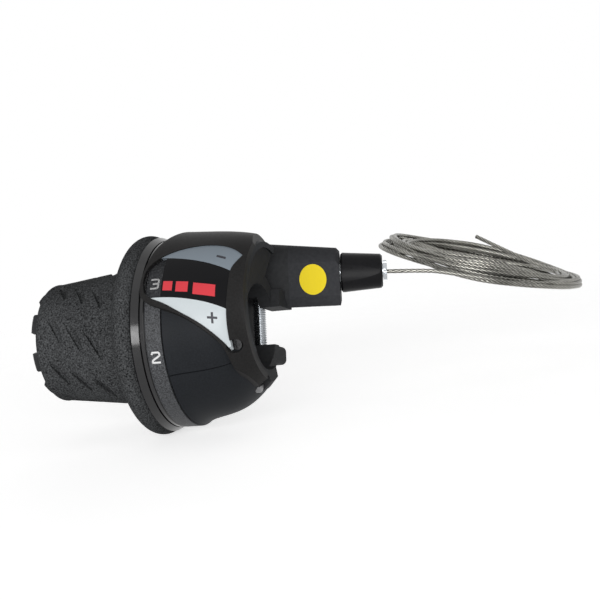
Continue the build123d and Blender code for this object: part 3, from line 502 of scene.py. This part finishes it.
# Clamp bolt
def threaded_bolt():
    """Bolt as one surface: a profile of radius over height is turned, the socket rows are hexagons
    and the shank's radius follows a triangle wave of the height less the angle."""
    across, thread_rows = 96, 300
    shank_r, root_r, head_r, socket_r = 1.75, 1.42, 2.75, 1.5
    head_low, head_top, end = -12.4, -8.4, 12.6
    socket_depth, pitch, chamfer = 2.4, 0.6, 0.4
    behind_bar, towards_grip = 15.4, 1.0
    turn = np.linspace(0, 2 * np.pi, across, endpoint=False)
    axis = np.zeros_like(turn)
    hexagon = socket_r * np.cos(np.pi / 6) / np.cos((turn % (np.pi / 3)) - np.pi / 6)
    rows = [(head_low + socket_depth, axis), (head_low + socket_depth, hexagon), (head_low, hexagon),
            (head_low, axis + head_r - chamfer), (head_low + chamfer, axis + head_r),
            (head_top - chamfer, axis + head_r), (head_top, axis + head_r - chamfer),
            (head_top, axis + root_r)]
    shank = np.linspace(head_top, end - chamfer, thread_rows)
    wave = np.abs(((shank[:, None] / pitch - turn[None, :] / (2 * np.pi)) % 1.0) * 2 - 1)
    body = root_r + (shank_r - root_r) * wave
    height = np.concatenate([[r[0] for r in rows], shank, [end, end]])
    radius = np.vstack([np.array([r[1] for r in rows]), body, axis + root_r - chamfer / 2, axis])
    centre = BACK * behind_bar - ALONG * towards_grip
    return (centre + height[:, None, None] * BOLT + radius[..., None]
            * (np.cos(turn)[None, :, None] * ALONG + np.sin(turn)[None, :, None] * BACK))


bolt = place("threaded_clamp_bolt", grid_mesh("threaded_clamp_bolt", threaded_bolt(), close_v=True),
             "housing", finishes["zinc_steel"])
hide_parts("clamp_bolt")

# Gear numbers: strokes of each figure, between minus one and one across and up
NUMBER_SHAPES = {
    "1": [[(-0.35, 0.65), (0.1, 1.0), (0.1, -1.0)]],
    "2": [[(-0.9, 0.6), (-0.7, 1.0), (0.65, 1.0), (0.9, 0.75), (0.9, 0.35), (-0.85, -0.55), (-0.9, -1.0),
           (0.95, -1.0)]],
    "3": [[(-0.9, 1.0), (0.6, 1.0), (0.9, 0.8), (0.9, 0.2), (0.65, 0.0), (-0.4, 0.0)],
          [(0.65, 0.0), (0.9, -0.2), (0.9, -0.8), (0.6, -1.0), (-0.9, -1.0)]],
}
NUMBER_DEG = {"3": 40.0, "2": -5.0, "1": -85.0}
NUMBER_HALF_SIZE = (1.15, 1.3)
NUMBER_STATION = -15.1
NUMBER_TOP, NUMBER_LOW = 0.05, -0.1
STROKE_WIDTH = 0.5


def stroke(points, width):
    """Flat ribbon along a bent line: each corner's two edge points lie on the line that halves its angle."""
    line = np.array(points, float)
    ahead = np.diff(line, axis=0)
    ahead /= np.linalg.norm(ahead, axis=1, keepdims=True)
    before, after = np.vstack([ahead[:1], ahead]), np.vstack([ahead, ahead[-1:]])
    middle = before + after
    middle /= np.linalg.norm(middle, axis=1, keepdims=True)
    reach = width / 2 / np.sum(middle * before, axis=1, keepdims=True)
    out = np.column_stack([-middle[:, 1], middle[:, 0]]) * reach
    return np.stack([line - out, line + out], 1)


def on_ring(flat, station, angle, lift):
    """Flat points wrapped on the number ring: the first goes along the bar and the second around it."""
    turn = angle + flat[..., 1] / RING_R
    r = RING_R + lift
    return np.stack([station + flat[..., 0], -r * np.cos(turn), r * np.sin(turn)], -1)


def number_plates(figure, angle_deg):
    """One figure: its strokes are ribbons, closed by a lower copy so that each is a thin plate."""
    plates = []
    for points in NUMBER_SHAPES[figure]:
        flat = stroke(np.array(points) * NUMBER_HALF_SIZE, STROKE_WIDTH)
        cuts = np.linspace(0, 1, 9)[None, :, None, None]
        fine = (flat[:-1, None] * (1 - cuts) + flat[1:, None] * cuts).reshape(-1, 2, 2)
        top = on_ring(fine, NUMBER_STATION, np.radians(angle_deg), NUMBER_TOP)
        low = on_ring(fine, NUMBER_STATION, np.radians(angle_deg), NUMBER_LOW)
        plates.append(np.stack([top[:, 0], top[:, 1], low[:, 1], low[:, 0]], 1))
    return plates


for figure, angle_deg in NUMBER_DEG.items():
    for k, plate in enumerate(number_plates(figure, angle_deg)):
        label = "gear_number_%s_%d" % (figure, k)
        place(label, grid_mesh(label, plate, close_v=True), "twist_grip",
              finishes["white_print"])


# Camera, light and floor
# Lights: place, aim and size in metres, and watts
LIGHTS = {
    "front_light": ((0.12, -0.86, 0.15), (0.01, 0.0, 0.0), (0.8, 0.32), 7.0),
    "top_light": ((0.0, -0.1, 0.75), (0.0, 0.0, 0.0), (0.7, 0.5), 0.2),
    "side_light": ((0.75, -0.45, 0.2), (0.01, 0.0, 0.0), (0.4, 0.5), 0.5),
    "back_light": ((-0.15, 0.9, 0.2), (0.0, 0.0, 0.0), (0.8, 0.35), 3.0),
}
WORLD_FILL = 0.14
FLOOR_LEVEL, FLOOR_REACH = -26.2, 900.0
FLOOR_GLOW = 0.62
FLOOR_FADE_FROM, FLOOR_FADE_RATE = 0.1, 4.0


def view_camera():
    """Camera from the fitted view: yaw, height angle and roll about the sight line, in degrees."""
    yaw, height, roll = np.radians([18.5, 7.1, -7.3])
    distance, aim = 500.0, np.array([16.1, 0.0, 6.0])
    back = np.array([np.sin(yaw) * np.cos(height), -np.cos(yaw) * np.cos(height), np.sin(height)])
    right = np.array([np.cos(yaw), np.sin(yaw), 0.0])
    up = np.cross(back, right)
    across = np.cos(roll) * right + np.sin(roll) * up
    upward = -np.sin(roll) * right + np.cos(roll) * up
    data = bpy.data.cameras.new("view_camera")
    data.sensor_width = 36.0
    data.lens = 118.02
    data.clip_start, data.clip_end = 0.01, 20.0
    camera = bpy.data.objects.new("view_camera", data)
    scene.collection.objects.link(camera)
    eye = (aim + back * distance) * MM
    rows = [[across[k], upward[k], back[k], eye[k]] for k in range(3)] + [[0, 0, 0, 1]]
    camera.matrix_world = Matrix(rows)
    scene.camera = camera


def soft_light(name, place_at, aim, size, watts):
    """Flat light of a width and height that faces its aim."""
    data = bpy.data.lights.new(name, "AREA")
    data.shape = "RECTANGLE"
    data.size, data.size_y = size
    data.energy = watts
    lamp = bpy.data.objects.new(name, data)
    scene.collection.objects.link(lamp)
    lamp.location = place_at
    lamp.rotation_euler = (Vector(aim) - Vector(place_at)).to_track_quat("-Z", "Y").to_euler()
    return lamp


def seen_directly(tree):
    """One for rays from the camera, a mirror or a clear piece."""
    rays = tree.nodes.new("ShaderNodeLightPath")
    seen = maths(tree, "MAXIMUM", rays.outputs["Is Camera Ray"], rays.outputs["Is Glossy Ray"])
    return maths(tree, "MAXIMUM", seen, rays.outputs["Is Transmission Ray"])


def white_world():
    """World that is white where it is seen, and lights the object more softly."""
    world = bpy.data.worlds.new("studio")
    scene.world = world
    world.use_nodes = True
    tree = world.node_tree
    tree.nodes.clear()
    out = tree.nodes.new("ShaderNodeOutputWorld")
    light = tree.nodes.new("ShaderNodeBackground")
    light.inputs[0].default_value = (1.0, 1.0, 1.0, 1.0)
    strength = maths(tree, "MULTIPLY_ADD", seen_directly(tree), 1.0 - WORLD_FILL, WORLD_FILL)
    tree.links.new(strength, light.inputs[1])
    tree.links.new(light.outputs[0], out.inputs[0])


def pale_floor():
    """Flat sheet under the object that fades into the white background with the distance."""
    side = np.linspace(-FLOOR_REACH, FLOOR_REACH, 9)
    x, y = np.meshgrid(side, side, indexing="ij")
    mesh = grid_mesh("floor", np.stack([y, x, np.full_like(x, FLOOR_LEVEL)], -1))
    finish, tree, shader = new_finish("floor_paper")
    add_grain(tree, shader, (0.93, 0.93, 0.93), 60, 0.02, 0.02, 0.8)
    shader.inputs["Specular IOR Level"].default_value = 0.1
    shader.inputs["Emission Color"].default_value = (1.0, 1.0, 1.0, 1.0)
    glow = maths(tree, "MULTIPLY", seen_directly(tree), FLOOR_GLOW)
    tree.links.new(glow, shader.inputs["Emission Strength"])
    where = tree.nodes.new("ShaderNodeTexCoord")
    away = vector_maths(tree, "LENGTH", where.outputs["Object"])
    faded = maths(tree, "MULTIPLY_ADD", away, FLOOR_FADE_RATE, -FLOOR_FADE_RATE * FLOOR_FADE_FROM)
    left = maths(tree, "SUBTRACT", 1.0, faded)
    left.node.use_clamp = True
    tree.links.new(left, shader.inputs["Alpha"])
    mesh.materials.append(finish)
    floor = bpy.data.objects.new("floor", mesh)
    scene.collection.objects.link(floor)


scene.view_settings.view_transform = "Standard"
view_camera()
white_world()
lamps = {name: soft_light(name, *values) for name, values in LIGHTS.items()}
# Mirrors don't show the back light, which would burn out the coil's ends
lamps["back_light"].visible_glossy = False
pale_floor()
